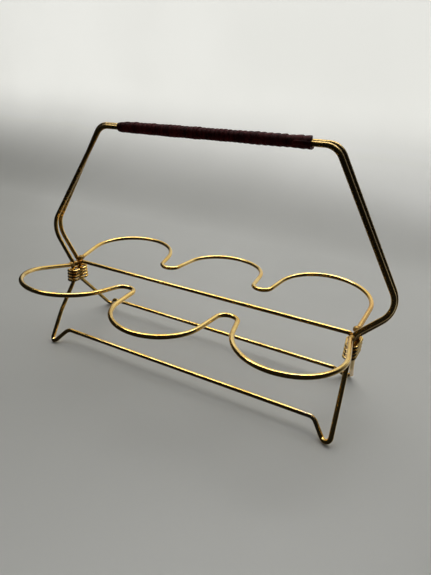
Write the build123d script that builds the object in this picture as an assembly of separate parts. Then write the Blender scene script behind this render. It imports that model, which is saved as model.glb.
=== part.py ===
from build123d import *

import os
from math import acos, atan2, cos, hypot, pi, sin

# Hand-held wire carrier for six glasses.
#
# Two closed bent-wire frames stand side by side.  Together their tops make the carrying handle and their
# bottoms make four hairpin feet and two low rails.  Both frames are gathered at a waist at each end, where
# a coil of finer wire binds them to the down-turned end of a straight centre rod.  Two scalloped wires are
# brazed across the waists and form three glass pockets in front and three behind.  The hand grip is a
# leather lacing wound over both handle wires.
#
# Millimetres.  +X runs along the carrier, +Z up, the origin is on the floor under the middle.
# The wires were bent by hand, so the left and right ends differ a little; each difference is named below.

# ---------------------------------------------------------------- driving dimensions
FRAME_WIRE = 4.3            # diameters of the four kinds of wire
SCALLOP_WIRE = 4.4
ROD_WIRE = 4.1
BINDING_WIRE = 2.8

LEFT = -1
RIGHT = 1
FRONT = -1
REAR = 1

# handle
BAR_END_X = {(FRONT, LEFT): -104.9, (FRONT, RIGHT): 112.4, (REAR, LEFT): -109.8, (REAR, RIGHT): 113.9}
BAR_END_Z = {LEFT: 224.4, RIGHT: 229.4}     # the top bar is a little out of level
REAR_BAR_RISE = 0.9         # the rear top bar sits a little higher than the front one
BAR_Y = 2.4                 # the two top bars lie side by side
SHOULDER_X = {(FRONT, LEFT): -181.2, (FRONT, RIGHT): 180.9, (REAR, LEFT): -180.5, (REAR, RIGHT): 183.2}
SHOULDER_Z = {(FRONT, LEFT): 114.3, (FRONT, RIGHT): 112.6, (REAR, LEFT): 114.3, (REAR, RIGHT): 109.8}
SHOULDER_Y = {LEFT: 3.4, RIGHT: 2.8}
BAR_BEND = 15.0             # bend radii of the wire's centre line
SHOULDER_BEND = {(FRONT, LEFT): 24.0, (FRONT, RIGHT): 20.0, (REAR, LEFT): 24.0, (REAR, RIGHT): 27.0}
WAIST_BEND = 9.0

# waists
WAIST_X = {(FRONT, LEFT): -156.0, (FRONT, RIGHT): 152.2, (REAR, LEFT): -155.6, (REAR, RIGHT): 154.6}
WAIST_Z = {(FRONT, LEFT): 77.0, (FRONT, RIGHT): 81.8, (REAR, LEFT): 75.9, (REAR, RIGHT): 76.9}
WAIST_Y = {FRONT: 4.3, REAR: 4.6}
BINDING_TOP = {LEFT: 71.4, RIGHT: 75.6}     # highest and lowest points of each binding coil
BINDING_HEIGHT = 17.2
BINDING_PITCH = 3.75
BINDING_SLANT = 0.6         # share of the pitch that each turn falls on its side towards +X
BINDING_X = {               # left and right corners of the coils' front and rear sides, along X
    (FRONT, LEFT): (-161.4, -151.8),
    (FRONT, RIGHT): (148.1, 156.5),
    (REAR, LEFT): (-160.0, -146.2),
    (REAR, RIGHT): (146.6, 158.9),
}
BINDING_GAP = 0.7           # between a coil and the wires at its front and rear sides
BINDING_BEND = 3.4
LEG_TOP_Y = {FRONT: 5.7, REAR: 4.9}         # where the legs leave the lower end of the binding

# legs, feet and rails
LEG_KNEE_Y = {FRONT: 31.0, REAR: 26.8}      # the front legs bow outward slightly at mid-height
LEG_KNEE_Z = 28.6
KNEE_BEND = 60.0
FOOT_OUTER = {              # corners of the hairpin feet, in plan: along X, and out from the middle
    (FRONT, LEFT): (-151.6, 50.6),
    (FRONT, RIGHT): (156.0, 54.8),
    (REAR, LEFT): (-153.9, 48.8),
    (REAR, RIGHT): (153.8, 52.6),
}
FOOT_INNER = {
    (FRONT, LEFT): (-146.6, 51.4),
    (FRONT, RIGHT): (148.6, 48.9),
    (REAR, LEFT): (-148.4, 49.6),
    (REAR, RIGHT): (146.6, 50.4),
}
FOOT_BEND = 4.4
RAIL_X = 137.3
RAIL_Y = 39.6
RAIL_Z = {(FRONT, LEFT): 13.3, (FRONT, RIGHT): 13.3, (REAR, LEFT): 15.0, (REAR, RIGHT): 14.0}
RAIL_BEND = 8.0

# centre rod
ROD_Z = {LEFT: 77.4, RIGHT: 78.8}
ROD_Y = 1.9
ROD_INSET = 3.5             # its turned-down ends lie this far inside the rear frame wire
ROD_BEND = 5.0

# scalloped wires: circles of their centre lines, in plan, mirrored for the rear wire
SCALLOP_SHIFT = {FRONT: -3.7, REAR: -1.2}    # neither scallop is quite central
MIDDLE_LOBE = (0.0, 60.2, 42.2)             # x, distance from the middle plane, radius
END_LOBE = (112.8, 46.8, 46.0)
NECK = (54.5, 41.6, 9.9)
LOBE_ARCS = 4               # arcs that each lobe is made of, which lets it rise and fall on its way
NECK_ARCS = 2
SCALLOP_END_X = {(FRONT, LEFT): 152.8, (FRONT, RIGHT): 154.5, (REAR, LEFT): 151.1, (REAR, RIGHT): 155.0}
SCALLOP_END_Y = {FRONT: 9.2, REAR: 7.8}      # the ends stop at the sides of the frame wires, brazed to them
END_RISE = 0.6              # under 1, the end lobes rise sooner than evenly on their way out
FILLET_SHARE = 0.985        # leaves a short straight between the arcs of one lobe

# height of the scalloped wires where they pass the left waist, left lobe, left neck, middle lobe,
# right neck, right lobe and right waist
SCALLOP_HEIGHTS = {
    FRONT: (74.8, 89.1, 82.1, 86.4, 83.0, 85.6, 78.8),
    REAR: (79.8, 82.0, 80.7, 78.1, 82.7, 87.3, 82.1),
}

# hand grip
GRIP_LEFT = -83.5
GRIP_RIGHT = 94.0
GRIP_CORD = 2.9             # thickness of the leather lacing
GRIP_CLEARANCE = 0.15

BRAZE_RADIUS = 3.0          # beads of brazing metal at the waists
BRAZE_PLACE = 0.46          # how far the outer beads lie from the scallop's end towards the wire behind it
BRAZE_RISE = 2.6            # height of the middle bead above the binding


# ---------------------------------------------------------------- helpers
def wire_along(points, radii, diameter):
    """A round wire of the given diameter whose centre line has rounded corners."""
    path = FilletPolyline(*points, radius=radii)
    section = Plane(origin=path @ 0, z_dir=path % 0) * Circle(diameter / 2)
    return sweep(section, path=path)


def point_between(start, end, share):
    """The point that lies the given share of the way from start to end."""
    return tuple(a + (b - a) * share for a, b in zip(start, end))


# ---------------------------------------------------------------- frames
def frame_end(side, end):
    """Corners and bend radii of one end of a frame, from the top bar down to the rail."""
    corners = []
    bar_z = BAR_END_Z[end] + (REAR_BAR_RISE if side == REAR else 0)
    corners.append(((BAR_END_X[side, end], side * BAR_Y, bar_z), BAR_BEND))
    shoulder = (SHOULDER_X[side, end], side * SHOULDER_Y[end], SHOULDER_Z[side, end])
    corners.append((shoulder, SHOULDER_BEND[side, end]))
    corners.append(((WAIST_X[side, end], side * WAIST_Y[side], WAIST_Z[side, end]), WAIST_BEND))

    leg_top = (WAIST_X[side, end], side * LEG_TOP_Y[side], BINDING_TOP[end] - BINDING_HEIGHT)
    outer_x, outer_y = FOOT_OUTER[side, end]
    inner_x, inner_y = FOOT_INNER[side, end]
    foot_outer = (outer_x, side * outer_y, FRAME_WIRE / 2)
    knee_share = (leg_top[2] - LEG_KNEE_Z) / (leg_top[2] - foot_outer[2])
    knee_x = point_between(leg_top, foot_outer, knee_share)[0]
    corners.append((leg_top, WAIST_BEND))
    corners.append(((knee_x, side * LEG_KNEE_Y[side], LEG_KNEE_Z), KNEE_BEND))
    corners.append((foot_outer, FOOT_BEND))
    corners.append(((inner_x, side * inner_y, FRAME_WIRE / 2), FOOT_BEND))
    corners.append(((end * RAIL_X, side * RAIL_Y, RAIL_Z[side, end]), RAIL_BEND))
    return corners


def frame_wire(side):
    """One closed frame, made as two halves that meet in the middle of the top bar and of the rail."""
    ends = {end: frame_end(side, end) for end in (LEFT, RIGHT)}
    bar_middle = point_between(ends[LEFT][0][0], ends[RIGHT][0][0], 0.5)
    rail_middle = point_between(ends[LEFT][-1][0], ends[RIGHT][-1][0], 0.5)
    halves = []
    for corners in ends.values():
        points = [bar_middle] + [point for point, _ in corners] + [rail_middle]
        radii = [radius for _, radius in corners]
        halves.append(wire_along(points, radii, FRAME_WIRE))
    return halves[0] + halves[1]


# ---------------------------------------------------------------- centre rod
def rod_end_x(end):
    """Where a turned-down end of the rod is along X."""
    return WAIST_X[REAR, end] - end * ROD_INSET


def centre_rod():
    """The straight rod between the waists, with both ends turned down into the bindings."""
    points = []
    for end in (LEFT, RIGHT):
        tip_z = BINDING_TOP[end] - BINDING_HEIGHT + BINDING_WIRE / 2
        pair = [(rod_end_x(end), ROD_Y, tip_z), (rod_end_x(end), ROD_Y, ROD_Z[end])]
        points += pair if end == LEFT else pair[::-1]
    return wire_along(points, [ROD_BEND, ROD_BEND], ROD_WIRE)


# ---------------------------------------------------------------- bindings
def binding(end):
    """The coil of finer wire, wound down around both frame wires and the end of the rod.

    It is wider behind than in front, because the end of the rod lies beside the rear frame wire.
    """
    front_left, front_right = BINDING_X[FRONT, end]
    rear_left, rear_right = BINDING_X[REAR, end]
    turn = [(REAR, rear_left), (REAR, rear_right), (FRONT, front_right), (FRONT, front_left)]
    even_fall = (1 - BINDING_SLANT) / (len(turn) - 1)
    falls = [0, even_fall, even_fall + BINDING_SLANT, 2 * even_fall + BINDING_SLANT]
    reach = FRAME_WIRE / 2 + BINDING_GAP + BINDING_WIRE / 2
    top = BINDING_TOP[end] - BINDING_WIRE / 2
    run = BINDING_HEIGHT - BINDING_WIRE
    turns = round(run / BINDING_PITCH)
    points = []
    for corner in range(len(turn) * turns + 1):
        share = (corner // len(turn) + falls[corner % len(turn)]) / turns
        side, x = turn[corner % len(turn)]
        wire_y = WAIST_Y[side] + (LEG_TOP_Y[side] - WAIST_Y[side]) * share
        points.append((x, side * (wire_y + reach), top - run * share))
    return wire_along(points, BINDING_BEND, BINDING_WIRE)


# ---------------------------------------------------------------- scalloped wires
def arc_corners(circle, start, stop, count):
    """Corners of the polygon around an arc; rounding them by the arc's radius gives the arc back."""
    x, y, radius = circle
    step = (stop - start) / count
    reach = radius / cos(step / 2)
    angles = [start + (index + 0.5) * step for index in range(count)]
    return [(x + reach * cos(angle), y + reach * sin(angle)) for angle in angles]


def crossed_tangent(first, second, side):
    """Angles at which the tangent that crosses between two circles touches each of them."""
    dx = second[0] - first[0]
    dy = second[1] - first[1]
    opening = acos((first[2] + second[2]) / hypot(dx, dy))
    angle = atan2(dy, dx) + side * opening
    return angle, angle + pi


def between(value, low, high):
    """The share of the way from low to high, kept within 0 and 1."""
    return min(1.0, max(0.0, (value - low) / (high - low)))


def scallop_end(end_x, end_y, waist_z, lobe_z, neck_z):
    """Corners of the left third of a scallop, for a front wire, with their radii and heights."""
    lobe = (-END_LOBE[0], -END_LOBE[1], END_LOBE[2])
    neck = (-NECK[0], -NECK[1], NECK[2])
    tip = (-end_x, -end_y)
    to_tip = atan2(tip[1] - lobe[1], tip[0] - lobe[0])
    lobe_start = to_tip + acos(lobe[2] / hypot(tip[0] - lobe[0], tip[1] - lobe[1]))
    lobe_stop, neck_start = crossed_tangent(lobe, neck, -1)
    middle = (MIDDLE_LOBE[0], -MIDDLE_LOBE[1], MIDDLE_LOBE[2])
    neck_stop = crossed_tangent(middle, neck, 1)[1]
    while lobe_stop < lobe_start:
        lobe_stop += 2 * pi
    while neck_start < neck_stop:
        neck_start += 2 * pi
    while neck_start - neck_stop > 2 * pi:
        neck_start -= 2 * pi

    outermost = END_LOBE[1] + END_LOBE[2]
    corners = [((tip[0], tip[1], waist_z), None)]
    for x, y in arc_corners(lobe, lobe_start, lobe_stop, LOBE_ARCS):
        if x < lobe[0]:
            z = waist_z + (lobe_z - waist_z) * between(-y, end_y, outermost) ** END_RISE
        else:
            z = neck_z + (lobe_z - neck_z) * between(-y, NECK[1] - NECK[2], outermost)
        corners.append(((x, y, z), lobe[2]))
    for x, y in arc_corners(neck, neck_start, neck_stop, NECK_ARCS):
        corners.append(((x, y, neck_z), neck[2]))
    return corners


def scallop_middle(left_neck_z, middle_z, right_neck_z):
    """Corners of the middle lobe, for a front wire."""
    middle = (MIDDLE_LOBE[0], -MIDDLE_LOBE[1], MIDDLE_LOBE[2])
    neck = (-NECK[0], -NECK[1], NECK[2])
    start = crossed_tangent(middle, neck, 1)[0] % (2 * pi)
    outermost = MIDDLE_LOBE[1] + MIDDLE_LOBE[2]
    corners = []
    for x, y in arc_corners(middle, start, 3 * pi - start, LOBE_ARCS):
        neck_z = left_neck_z if x < middle[0] else right_neck_z
        z = neck_z + (middle_z - neck_z) * between(-y, NECK[1] - NECK[2], outermost)
        corners.append(((x, y, z), middle[2]))
    return corners


def scallop(side):
    """One scalloped wire with three lobes, from the left waist to the right waist."""
    heights = SCALLOP_HEIGHTS[side]
    end_y = SCALLOP_END_Y[side]
    left = scallop_end(SCALLOP_END_X[side, LEFT], end_y, *heights[:3])
    middle = scallop_middle(*heights[2:5])
    right = scallop_end(SCALLOP_END_X[side, RIGHT], end_y, *heights[:3:-1])
    right = [((-point[0], point[1], point[2]), radius) for point, radius in right[::-1]]
    corners = left + middle + right
    points = [(x + SCALLOP_SHIFT[side], -side * y, z) for (x, y, z), _ in corners]
    radii = [radius * FILLET_SHARE for _, radius in corners[1:-1]]
    return wire_along(points, radii, SCALLOP_WIRE)


# ---------------------------------------------------------------- hand grip
def grip():
    """The sleeve that the leather lacing makes over both handle wires."""
    slope = (BAR_END_Z[RIGHT] - BAR_END_Z[LEFT]) / (BAR_END_X[FRONT, RIGHT] - BAR_END_X[FRONT, LEFT])
    start_z = BAR_END_Z[LEFT] + slope * (GRIP_LEFT - BAR_END_X[FRONT, LEFT]) + REAR_BAR_RISE / 2
    roll = atan2(REAR_BAR_RISE, 2 * BAR_Y)
    along = Vector(1, 0, slope)
    across = Vector(0, cos(roll), sin(roll))
    plane = Plane(origin=(GRIP_LEFT, 0, start_z), x_dir=across, z_dir=along)
    bore_height = FRAME_WIRE + 2 * GRIP_CLEARANCE
    bore = SlotCenterToCenter(2 * hypot(BAR_Y, REAR_BAR_RISE / 2), bore_height)
    outside = SlotCenterToCenter(2 * BAR_Y, bore_height + 2 * GRIP_CORD)
    return extrude(plane * (outside - bore), amount=GRIP_RIGHT - GRIP_LEFT)


# ---------------------------------------------------------------- brazed joints
def braze(end, neighbours):
    """The three beads of brazing metal at one waist.

    Two join the scallop ends to the frame and the rod, and the third fills in between the frame wires.
    """
    middle_x = (WAIST_X[FRONT, end] + WAIST_X[REAR, end]) / 2
    centres = [(middle_x, 0, BINDING_TOP[end] + BRAZE_RISE)]
    for side in (FRONT, REAR):
        tip_x = end * SCALLOP_END_X[side, end] + SCALLOP_SHIFT[side]
        tip_z = SCALLOP_HEIGHTS[side][0 if end == LEFT else -1]
        tip = (tip_x, side * SCALLOP_END_Y[side], tip_z)
        held_by = (WAIST_X[FRONT, end], -WAIST_Y[FRONT]) if side == FRONT else (rod_end_x(end), ROD_Y)
        centres.append(point_between(tip, (*held_by, tip_z), BRAZE_PLACE))
    beads = []
    for centre in centres:
        bead = Pos(*centre) * Sphere(BRAZE_RADIUS)
        for neighbour in neighbours:
            bead = bead - neighbour
        beads.append(max(bead.solids(), key=lambda solid: solid.volume))
    return Compound(children=beads)


# ---------------------------------------------------------------- output
def main():
    wires = {
        "front_frame_wire": frame_wire(FRONT),
        "rear_frame_wire": frame_wire(REAR),
        "centre_rod": centre_rod(),
        "left_binding_coil": binding(LEFT),
        "right_binding_coil": binding(RIGHT),
        "front_scallop_wire": scallop(FRONT),
        "rear_scallop_wire": scallop(REAR),
    }
    parts = dict(wires)
    parts["grip_lacing"] = grip()
    parts["left_waist_braze"] = braze(LEFT, wires.values())
    parts["right_waist_braze"] = braze(RIGHT, wires.values())
    os.makedirs("parts", exist_ok=True)
    for name, shape in parts.items():
        export_step(shape, f"parts/{name}.step")


main()
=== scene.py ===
"""Looks for the wire carrier for six glasses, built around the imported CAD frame.

Metres, in the CAD frame: +X runs along the carrier, +Y towards the rear pockets, +Z up from the floor.
The brass wires, coils and brazing are the CAD pieces with new materials.  The grip is modelled here as a
leather thong wound over both handle bars.
"""

import math
import random

import bpy
import bmesh
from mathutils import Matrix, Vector


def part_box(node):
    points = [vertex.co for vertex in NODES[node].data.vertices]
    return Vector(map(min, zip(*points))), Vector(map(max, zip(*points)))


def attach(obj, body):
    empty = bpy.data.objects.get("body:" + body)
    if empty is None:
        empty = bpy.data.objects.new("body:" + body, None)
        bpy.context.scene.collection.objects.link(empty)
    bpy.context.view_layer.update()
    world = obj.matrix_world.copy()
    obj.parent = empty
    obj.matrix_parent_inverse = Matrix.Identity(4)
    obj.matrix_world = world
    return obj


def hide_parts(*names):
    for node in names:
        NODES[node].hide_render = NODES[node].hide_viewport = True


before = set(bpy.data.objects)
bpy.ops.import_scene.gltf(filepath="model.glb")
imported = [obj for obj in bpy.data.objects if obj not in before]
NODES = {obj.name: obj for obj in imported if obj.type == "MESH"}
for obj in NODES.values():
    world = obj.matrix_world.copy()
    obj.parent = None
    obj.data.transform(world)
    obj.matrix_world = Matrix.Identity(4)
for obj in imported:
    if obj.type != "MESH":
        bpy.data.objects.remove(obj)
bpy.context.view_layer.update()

MM = 0.001

LEFT_WAIST = (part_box("left_binding_coil")[0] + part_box("left_binding_coil")[1]) / 2
RIGHT_WAIST = (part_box("right_binding_coil")[0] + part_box("right_binding_coil")[1]) / 2


# ---------------------------------------------------------------- material helpers
class Shader:
    """A material with one Principled shader, and short ways to add the nodes that feed it."""

    def __init__(self, name, **values):
        self.material = bpy.data.materials.new(name)
        self.material.use_nodes = True
        self.tree = self.material.node_tree
        self.surface = self.tree.nodes["Principled BSDF"]
        for socket, value in values.items():
            self.surface.inputs[socket.replace("_", " ")].default_value = value
        self.place = self.add("ShaderNodeTexCoord").outputs["Object"]

    def add(self, kind, **settings):
        node = self.tree.nodes.new(kind)
        for name, value in settings.items():
            setattr(node, name, value)
        return node

    def link(self, source, target):
        self.tree.links.new(source, target)

    def stretched(self, scale):
        """Object coordinates, stretched along the axes."""
        node = self.add("ShaderNodeMapping")
        node.inputs["Scale"].default_value = scale
        self.link(self.place, node.inputs["Vector"])
        return node.outputs["Vector"]

    def noise(self, scale, detail=3.0, roughness=0.55, distortion=0.0, place=None):
        node = self.add("ShaderNodeTexNoise")
        node.inputs["Scale"].default_value = scale
        node.inputs["Detail"].default_value = detail
        node.inputs["Roughness"].default_value = roughness
        node.inputs["Distortion"].default_value = distortion
        self.link(place or self.place, node.inputs["Vector"])
        return node.outputs["Fac"]

    def cells(self, scale, feature="F1"):
        node = self.add("ShaderNodeTexVoronoi", feature=feature)
        node.inputs["Scale"].default_value = scale
        self.link(self.place, node.inputs["Vector"])
        return node.outputs["Distance"]

    def remap(self, source, low, high, to_low=0.0, to_high=1.0):
        node = self.add("ShaderNodeMapRange", interpolation_type="SMOOTHSTEP")
        for socket, value in zip(node.inputs[1:5], (low, high, to_low, to_high)):
            socket.default_value = value
        self.link(source, node.inputs[0])
        return node.outputs[0]

    def math(self, operation, first, second):
        node = self.add("ShaderNodeMath", operation=operation)
        for socket, value in zip(node.inputs, (first, second)):
            if isinstance(value, (int, float)):
                socket.default_value = value
            else:
                self.link(value, socket)
        return node.outputs[0]

    def mix(self, share, first, second):
        node = self.add("ShaderNodeMix", data_type="RGBA")
        for socket, value in zip((node.inputs[0], node.inputs[6], node.inputs[7]), (share, first, second)):
            if isinstance(value, tuple):
                socket.default_value = (*value, 1.0)
            else:
                self.link(value, socket)
        return node.outputs[2]

    def near(self, point, inner, outer):
        """1 within the inner distance of a point, falling to 0 at the outer distance."""
        node = self.add("ShaderNodeVectorMath", operation="DISTANCE")
        self.link(self.place, node.inputs[0])
        node.inputs[1].default_value = point
        return self.remap(node.outputs["Value"], inner, outer, 1.0, 0.0)

    def bump(self, height, distance, below=None):
        node = self.add("ShaderNodeBump")
        node.inputs["Distance"].default_value = distance
        node.inputs["Strength"].default_value = 1.0
        self.link(height, node.inputs["Height"])
        if below is not None:
            self.link(below, node.inputs["Normal"])
        return node.outputs["Normal"]

    def finish(self, colour, roughness, normal):
        self.link(colour, self.surface.inputs["Base Color"])
        self.link(roughness, self.surface.inputs["Roughness"])
        self.link(normal, self.surface.inputs["Normal"])
        return self.material


# ---------------------------------------------------------------- brass
GOLD = (0.89, 0.64, 0.24)
OLD_GOLD = (0.78, 0.50, 0.13)
TARNISH_AND_SHADE = (0.17, 0.11, 0.04)
COPPER = (0.64, 0.37, 0.11)
SHADE_FROM = 0.11            # painted shade darkens the brass above these heights, the handle more than the rings, to dim its highlights
SHADE_TO = 0.17
HANDLE_SHADE = 0.72
WORN_GREY = (0.34, 0.30, 0.27)
BRASS_PATCHES = 38          # noise scales, per metre
BRASS_MOTTLE = 420
BRASS_SPECKS = 900
BRASS_WAVES = 110
BRASS_ROUGHNESS = (0.15, 0.21)
WEAR_ROUGHNESS = 0.05       # what fine wear, and the dirt with the painted shade, add to it
DIRT_AND_SHADE_ROUGHNESS = 0.12
DRAWN_LINES = (500, 2600, 2600)
DRAWN_DEPTH = 0.0015 * MM
SPECK_DEPTH = 0.002 * MM
WAVE_DEPTH = 0.02 * MM
LUMP_DEPTH = 0.8 * MM       # on fully matte metal


def brass(name, copper_near=(), worn_near=(), darker=0.0, matte=0.0):
    """Polished brass, mottled with tarnish, copper-coloured or worn grey near the points given, and
    darkened above a set height with painted shade.

    Darker is the least share of tarnish, and matte adds to the roughness and the lumps.
    """
    shader = Shader(name, Metallic=1.0)
    patches = shader.noise(BRASS_PATCHES, 4, 0.6, 0.4)
    mottle = shader.noise(BRASS_MOTTLE, 3)
    specks = shader.noise(BRASS_SPECKS, 4, 0.7)
    drawn = shader.noise(1.0, 2, place=shader.stretched(DRAWN_LINES))

    colour = shader.mix(shader.remap(patches, 0.35, 0.70), GOLD, OLD_GOLD)
    colour = shader.mix(shader.remap(mottle, 0.45, 0.75, 0.0, 0.25), colour, OLD_GOLD)
    dirty_patches = shader.remap(patches, 0.45, 0.65, 0.05, 0.5)
    dirt_and_shade = shader.math("MULTIPLY", shader.remap(specks, 0.60, 0.76), dirty_patches)
    if darker:
        dirt_and_shade = shader.math("MAXIMUM", dirt_and_shade, darker)
    height = shader.add("ShaderNodeSeparateXYZ")
    shader.link(shader.place, height.inputs[0])
    # painted shade: the brass darkens with height, which dims the highlights on the handle
    painted_shade = shader.remap(height.outputs["Z"], SHADE_FROM, SHADE_TO, 0.0, HANDLE_SHADE)
    dirt_and_shade = shader.math("MAXIMUM", dirt_and_shade, painted_shade)
    colour = shader.mix(dirt_and_shade, colour, TARNISH_AND_SHADE)
    for point, inner, outer, amount in copper_near:
        uneven = shader.remap(mottle, 0.30, 0.60, 0.55, 1.0)
        share = shader.math("MULTIPLY", shader.near(point, inner, outer), uneven)
        colour = shader.mix(shader.math("MULTIPLY", share, amount), colour, COPPER)
    for point, inner, outer in worn_near:
        share = shader.math("MULTIPLY", shader.near(point, inner, outer), shader.remap(specks, 0.35, 0.6))
        colour = shader.mix(share, colour, WORN_GREY)

    fine_wear = shader.remap(mottle, 0.4, 0.7, 0.0, WEAR_ROUGHNESS)
    roughness = shader.math("ADD", shader.remap(patches, 0.3, 0.7, *BRASS_ROUGHNESS), fine_wear)
    roughness = shader.math("ADD", roughness, shader.math("MULTIPLY", dirt_and_shade, DIRT_AND_SHADE_ROUGHNESS))
    roughness = shader.math("ADD", roughness, matte)
    normal = shader.bump(mottle, matte * LUMP_DEPTH)
    normal = shader.bump(drawn, DRAWN_DEPTH, normal)
    normal = shader.bump(specks, SPECK_DEPTH, normal)
    normal = shader.bump(shader.noise(BRASS_WAVES, 1), WAVE_DEPTH, normal)
    return shader.finish(colour, roughness, normal)


# ---------------------------------------------------------------- leather
OXBLOOD = (0.080, 0.007, 0.007)
WORN_OXBLOOD = (0.170, 0.026, 0.022)
NEARLY_BLACK = (0.020, 0.002, 0.002)
LEATHER_PATCHES = 90        # noise scales, per metre
LEATHER_FINE = 1400
LEATHER_GRAIN = 1500
LEATHER_ROUGHNESS = (0.38, 0.62)
CREASES = (2200, 450, 450)
GRAIN_DEPTH = 0.03 * MM
CREASE_DEPTH = 0.06 * MM


def leather(name):
    """Dark waxed leather: fine grain, creases and slightly redder worn ridges."""
    shader = Shader(name, Specular_IOR_Level=0.04)
    patches = shader.noise(LEATHER_PATCHES, 4, 0.6)
    fine = shader.noise(LEATHER_FINE, 4, 0.7)
    grain = shader.cells(LEATHER_GRAIN, "DISTANCE_TO_EDGE")
    creases = shader.noise(1.0, 3, 0.6, place=shader.stretched(CREASES))

    colour = shader.mix(shader.remap(patches, 0.35, 0.68), OXBLOOD, NEARLY_BLACK)
    colour = shader.mix(shader.remap(fine, 0.50, 0.75, 0.0, 0.7), colour, WORN_OXBLOOD)
    colour = shader.mix(shader.remap(grain, 0.0, 0.06, 0.6, 0.0), colour, NEARLY_BLACK)
    roughness = shader.remap(fine, 0.3, 0.7, *LEATHER_ROUGHNESS)
    normal = shader.bump(shader.remap(grain, 0.0, 0.10), GRAIN_DEPTH)
    normal = shader.bump(creases, CREASE_DEPTH, normal)
    return shader.finish(colour, roughness, normal)


# ---------------------------------------------------------------- grip
THONG = 1.7 * MM             # thickness of the thong
GRIP_SPREAD = 2.4 * MM       # half the distance between the two bars
WINDING_RADIUS = 2.5 * MM    # the thong lies over a first layer, which hides under it
OVERLAP = 1.22               # width of the thong over its pitch
BAR_HANDOVER = 2.2           # how quickly the thong passes from one bar to the other
SECTION_FLATNESS = (0.75, 0.8)    # under 1, the thong's section is squarer than round
TILT = 0.60                  # how far each turn rises over the next, as a share of its thickness
LUMPINESS = 0.16
JITTER = 0.25 * MM
END_RUN = 0.6                # the first and last turns rise to full height over this share of the pitch
END_HEIGHT = 0.75
MOST_TURNS = 80
TAIL_LENGTH = 14 * MM        # the thong's end, laid flat along the front at the right
TAIL_WIDTH = 3.6 * MM
TAIL_LIFT = 4.3 * MM
TAIL_TIP = 0.25              # the size of its ends, as a share of the full section

# the pitch of the winding in mm, at shares of the grip's length from its left end
PITCHES = ((0.0, 5.0), (0.12, 4.7), (0.30, 4.0), (0.62, 4.1), (0.70, 5.4), (0.88, 6.2), (1.0, 6.4))


def grip_ends():
    """Centres of the two ends of the CAD sleeve."""
    corners = [v.co for v in NODES["grip_lacing"].data.vertices]
    middle = sum(c.x for c in corners) / len(corners)
    ends = []
    for keep in (lambda c: c.x < middle, lambda c: c.x >= middle):
        chosen = [c for c in corners if keep(c)]
        ends.append(sum(chosen, Vector()) / len(chosen))
    return ends


def curve_value(stops, share):
    """Value between the nearest two (share, value) stops."""
    for (low, first), (high, second) in zip(stops, stops[1:]):
        if share <= high:
            return first + (second - first) * (share - low) / (high - low)
    return stops[-1][1]


def racetrack(angle, lift):
    """A point on the outline of both bars together, raised by lift."""
    outward = Vector((0, math.cos(angle), math.sin(angle)))
    bar = Vector((0, GRIP_SPREAD * max(-1.0, min(1.0, BAR_HANDOVER * math.cos(angle))), 0))
    return bar + outward * (WINDING_RADIUS + lift)


def thong_section(width, thickness, count=14):
    """Outline of the flat thong: offsets along the bar and outward, domed on top."""
    outline = []
    for index in range(count):
        angle = 2 * math.pi * index / count
        across = math.copysign(abs(math.cos(angle)) ** SECTION_FLATNESS[0], math.cos(angle))
        up = math.copysign(abs(math.sin(angle)) ** SECTION_FLATNESS[1], math.sin(angle))
        outline.append((across * width / 2, (up + 1) * thickness / 2))
    return outline


def lofted(name, outlines):
    """A closed, smooth-shaded object through a row of closed outlines, linked into the scene."""
    mesh = bmesh.new()
    rings = [[mesh.verts.new(point) for point in outline] for outline in outlines]
    for near, far in zip(rings, rings[1:]):
        for index in range(len(near)):
            after = (index + 1) % len(near)
            mesh.faces.new((near[index], near[after], far[after], far[index]))
    mesh.faces.new(rings[0][::-1])
    mesh.faces.new(rings[-1])
    bmesh.ops.recalc_face_normals(mesh, faces=mesh.faces)
    data = bpy.data.meshes.new(name)
    mesh.to_mesh(data)
    mesh.free()
    for polygon in data.polygons:
        polygon.use_smooth = True
    obj = bpy.data.objects.new(name, data)
    bpy.context.scene.collection.objects.link(obj)
    return obj


def winding(length, seed=7, steps=56):
    """The thong's path: for each step its place along the grip, its angle, its pitch and its lump."""
    rng = random.Random(seed)
    wobble = [rng.uniform(-1, 1) for _ in range(MOST_TURNS)]
    lumps = [rng.uniform(-1, 1) for _ in range(MOST_TURNS)]
    path = []
    travelled = 0.0
    turn = 0
    while travelled < length:
        pitch = curve_value(PITCHES, travelled / length) * MM
        for step in range(steps):
            portion = step / steps
            angle = math.pi / 2 + 2 * math.pi * portion
            jitter = wobble[turn] * (1 - portion) + wobble[turn + 1] * portion
            lump = lumps[turn] * (1 - portion) + lumps[turn + 1] * portion
            centre = travelled + pitch * portion + jitter * JITTER
            if centre > length:
                break
            path.append((centre, angle, pitch, lump))
        travelled += pitch
        turn += 1
    return path


def wound_grip():
    """The thong, wound from the left end to the right, each turn lying over the edge of the next."""
    left, right = grip_ends()
    along = (right - left).normalized()
    length = (right - left).length
    outlines = []
    for centre, angle, pitch, lump in winding(length):
        width = pitch * OVERLAP
        from_end = min(centre, length - centre) / (END_RUN * pitch)
        taper = min(1.0, from_end + END_HEIGHT)
        outline = []
        for across, up in thong_section(width, THONG * (1 + LUMPINESS * lump)):
            shift = min(max(centre + across, 0.0), length)
            tilt = (across / width + 0.5) * THONG * TILT
            outline.append(left + along * shift + racetrack(angle, (up + tilt) * taper))
        outlines.append(outline)
    return lofted("wound_grip", outlines)


def thong_tail(steps=16):
    """The end of the thong, laid flat along the front of the grip near its right end."""
    left, right = grip_ends()
    along = (right - left).normalized()
    front = Vector((0, -GRIP_SPREAD - TAIL_LIFT, 0))
    outlines = []
    for step in range(steps + 1):
        share = step / steps
        size = TAIL_TIP + (1 - TAIL_TIP) * math.sqrt(max(0.0, 1 - (2 * share - 1) ** 6))
        middle = right - along * TAIL_LENGTH * (1 - share) + front
        section = thong_section(TAIL_WIDTH * size, THONG * size)
        outlines.append([middle + Vector((0, -up, across)) for across, up in section])
    return lofted("thong_tail", outlines)


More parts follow.
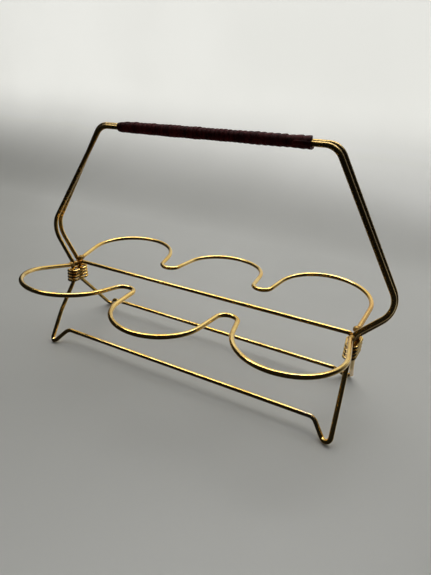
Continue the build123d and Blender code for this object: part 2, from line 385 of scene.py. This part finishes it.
# ---------------------------------------------------------------- stage
BACKDROP_Y = 0.64
BACKDROP_BEND = 0.26
BACKDROP_TOP = 1.8
BEND_STEPS = 12
STAGE_REACH = 3.0
FLOOR_PALE = (0.60, 0.60, 0.57)
FLOOR_SHADE = (0.56, 0.56, 0.53)
FLOOR_CLOUDS = 2.5           # noise scales, per metre
FLOOR_GRAIN = 600
FLOOR_GRAIN_DEPTH = 0.02 * MM
GLOW_HEIGHT = 0.24           # the backdrop's own light grows up to this height
GLOW_STRENGTH = 1.2

# how bright the world is: dim for the metal, except to the rear and low down behind the floor
AHEAD = 0.009
TOWARDS_REAR = 0.42
LOW_BEHIND = 0.24
SEEN_BY_CAMERA = 0.60
WORLD_COLOUR = (0.92, 0.93, 0.95, 1)

# lamps that light the floor and the leather: name, place, aim, width, height, watts
LAMPS = (
    ("window", (-0.1, 0.58, 0.60), (-0.1, 0, 0.55), 2.6, 1.1, 3),
    ("skylight", (-0.2, 0.35, 1.45), (0, 0, 0), 1.6, 0.9, 6),
)

# cards that only the metal reflects: name, place, aim, width, height, brightness
CARDS = (
    ("low_card", (-0.10, 0.58, 0.19), (-0.10, 0, 0.19), 1.5, 0.36, 0.38),
    ("high_card", (-0.10, 0.38, 0.75), (0, 0, 0.10), 1.4, 0.90, 0.80),
    ("bright_card", (-0.10, 0.16, 0.95), (0, 0, 0.10), 1.4, 0.22, 7.5),
)

CAMERA_PLACE = (0.17789, -0.33524, 0.27041)
CAMERA_TURN = (63.92, -2.70, 26.59)    # degrees about x, y and z
CAMERA_LENS = 27.0                     # mm
CAMERA_SENSOR = 36.0                   # mm


def stage_sheet(name, profile, material):
    """A sheet that follows a (y, z) profile and runs the whole width of the stage."""
    mesh = bmesh.new()
    rows = [[mesh.verts.new((x, y, z)) for x in (-STAGE_REACH, STAGE_REACH)] for y, z in profile]
    for near, far in zip(rows, rows[1:]):
        mesh.faces.new((near[0], near[1], far[1], far[0])).smooth = True
    data = bpy.data.meshes.new(name)
    mesh.to_mesh(data)
    mesh.free()
    data.materials.append(material)
    obj = bpy.data.objects.new(name, data)
    bpy.context.scene.collection.objects.link(obj)
    return obj


def floor_profile():
    """The floor, curving up into the backdrop."""
    profile = [(-STAGE_REACH, 0)]
    for step in range(BEND_STEPS + 1):
        angle = math.pi / 2 * step / BEND_STEPS
        y = BACKDROP_Y - BACKDROP_BEND * (1 - math.sin(angle))
        z = BACKDROP_BEND * (1 - math.cos(angle))
        profile.append((y, z))
    return profile + [(BACKDROP_Y, BACKDROP_TOP)]


def floor_material():
    """Pale painted surface, lit a little from within where it rises behind the carrier."""
    shader = Shader("pale_floor", Specular_IOR_Level=0.5)
    clouds = shader.noise(FLOOR_CLOUDS, 3)
    grain = shader.noise(FLOOR_GRAIN, 2)
    colour = shader.mix(shader.remap(clouds, 0.3, 0.7), FLOOR_PALE, FLOOR_SHADE)
    height = shader.add("ShaderNodeSeparateXYZ")
    shader.link(shader.place, height.inputs[0])
    shader.link(colour, shader.surface.inputs["Emission Color"])
    glow = shader.remap(height.outputs["Z"], 0.0, GLOW_HEIGHT, 0.0, GLOW_STRENGTH)
    shader.link(glow, shader.surface.inputs["Emission Strength"])
    normal = shader.bump(grain, FLOOR_GRAIN_DEPTH)
    return shader.finish(colour, shader.remap(grain, 0.3, 0.7, 0.42, 0.50), normal)


def area_light(name, location, target, size_x, size_y, power):
    """A rectangular white lamp that points at its target."""
    data = bpy.data.lights.new(name, "AREA")
    data.shape = "RECTANGLE"
    data.size = size_x
    data.size_y = size_y
    data.energy = power
    lamp = bpy.data.objects.new(name, data)
    lamp.location = location
    lamp.rotation_mode = "QUATERNION"
    lamp.rotation_quaternion = (Vector(target) - Vector(location)).to_track_quat("-Z", "Y")
    bpy.context.scene.collection.objects.link(lamp)
    return lamp


def reflection_card(name, location, target, size_x, size_y, brightness):
    """A bright card that is seen only in the metal, to give it crisp highlights."""
    card = area_light(name, location, target, size_x, size_y, brightness * math.pi * size_x * size_y)
    card.visible_camera = False
    card.visible_diffuse = False
    return card


def map_range(tree, value, start, end, low, high):
    """Nodes of the world that map value from start..end to low..high."""
    node = tree.nodes.new("ShaderNodeMapRange")
    for socket, amount in zip(node.inputs[1:5], (start, end, low, high)):
        socket.default_value = amount
    tree.links.new(value, node.inputs[0])
    return node.outputs["Result"]


def arithmetic(tree, operation, first, second):
    """A maths node of the world on two values."""
    node = tree.nodes.new("ShaderNodeMath")
    node.operation = operation
    tree.links.new(first, node.inputs[0])
    tree.links.new(second, node.inputs[1])
    return node.outputs["Value"]


def studio_world():
    """Pale behind everything the camera sees, dim for what the metal reflects."""
    world = bpy.data.worlds.new("studio")
    world.use_nodes = True
    tree = world.node_tree
    background = tree.nodes["Background"]
    background.inputs["Color"].default_value = WORLD_COLOUR
    direction = tree.nodes.new("ShaderNodeTexCoord")
    axes = tree.nodes.new("ShaderNodeSeparateXYZ")
    tree.links.new(direction.outputs["Generated"], axes.inputs[0])
    rearward = map_range(tree, axes.outputs["Y"], 0.45, 0.95, AHEAD, TOWARDS_REAR)
    downward = map_range(tree, axes.outputs["Z"], -0.20, -0.50, 0.0, LOW_BEHIND)
    behind = map_range(tree, axes.outputs["Y"], 0.0, 0.40, 0.0, 1.0)
    low_behind = arithmetic(tree, "MULTIPLY", downward, behind)
    reflected = arithmetic(tree, "ADD", rearward, low_behind)

    seen = tree.nodes.new("ShaderNodeLightPath")
    strength = tree.nodes.new("ShaderNodeMapRange")
    strength.inputs["To Max"].default_value = SEEN_BY_CAMERA
    tree.links.new(seen.outputs["Is Camera Ray"], strength.inputs["Value"])
    tree.links.new(reflected, strength.inputs["To Min"])
    tree.links.new(strength.outputs["Result"], background.inputs["Strength"])
    return world


# ---------------------------------------------------------------- the object
# where heat and wear have coloured the brass: place, full within, gone beyond, and the amount of copper
ABOVE_WAIST = Vector((0, 0, 0.012))
WAIST_COPPER = [(tuple(LEFT_WAIST + ABOVE_WAIST), 0.008, 0.024, 0.45),
                (tuple(RIGHT_WAIST + ABOVE_WAIST), 0.010, 0.034, 0.55)]
RING_COPPER = [((0.155, 0.035, 0.083), 0.010, 0.040, 0.9)]
BRAZE_COPPER = [(tuple(waist), 0.05, 0.06, 0.35) for waist in (LEFT_WAIST, RIGHT_WAIST)]
FOOT_WEAR = [((0.134, -0.040, 0.013), 0.004, 0.022)]

frame_brass = brass("frame_brass", WAIST_COPPER, FOOT_WEAR)
scallop_brass = brass("scallop_brass", WAIST_COPPER + RING_COPPER)
coil_brass = brass("coil_brass")
braze_metal = brass("braze_metal", BRAZE_COPPER, darker=0.75, matte=0.25)

FINISHES = {
    "front_frame_wire": frame_brass,
    "rear_frame_wire": frame_brass,
    "centre_rod": frame_brass,
    "front_scallop_wire": scallop_brass,
    "rear_scallop_wire": scallop_brass,
    "left_binding_coil": coil_brass,
    "right_binding_coil": coil_brass,
    "left_waist_braze": braze_metal,
    "right_waist_braze": braze_metal,
}
for node, material in FINISHES.items():
    NODES[node].data.materials.clear()
    NODES[node].data.materials.append(material)

oxblood = leather("oxblood_leather")
grip = wound_grip()
tail = thong_tail()
for piece in (grip, tail):
    piece.data.materials.append(oxblood)
    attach(piece, "root")
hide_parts("grip_lacing")

# ---------------------------------------------------------------- floor, light and camera
floor = stage_sheet("floor", floor_profile(), floor_material())
floor.visible_glossy = False

for lamp in LAMPS:
    area_light(*lamp).visible_glossy = False
for card in CARDS:
    reflection_card(*card)
bpy.context.scene.world = studio_world()
bpy.context.scene.view_settings.view_transform = "Standard"

camera_data = bpy.data.cameras.new("camera")
camera_data.lens = CAMERA_LENS
camera_data.sensor_width = CAMERA_SENSOR
camera = bpy.data.objects.new("camera", camera_data)
camera.location = CAMERA_PLACE
camera.rotation_euler = [math.radians(angle) for angle in CAMERA_TURN]
bpy.context.scene.collection.objects.link(camera)
bpy.context.scene.camera = camera
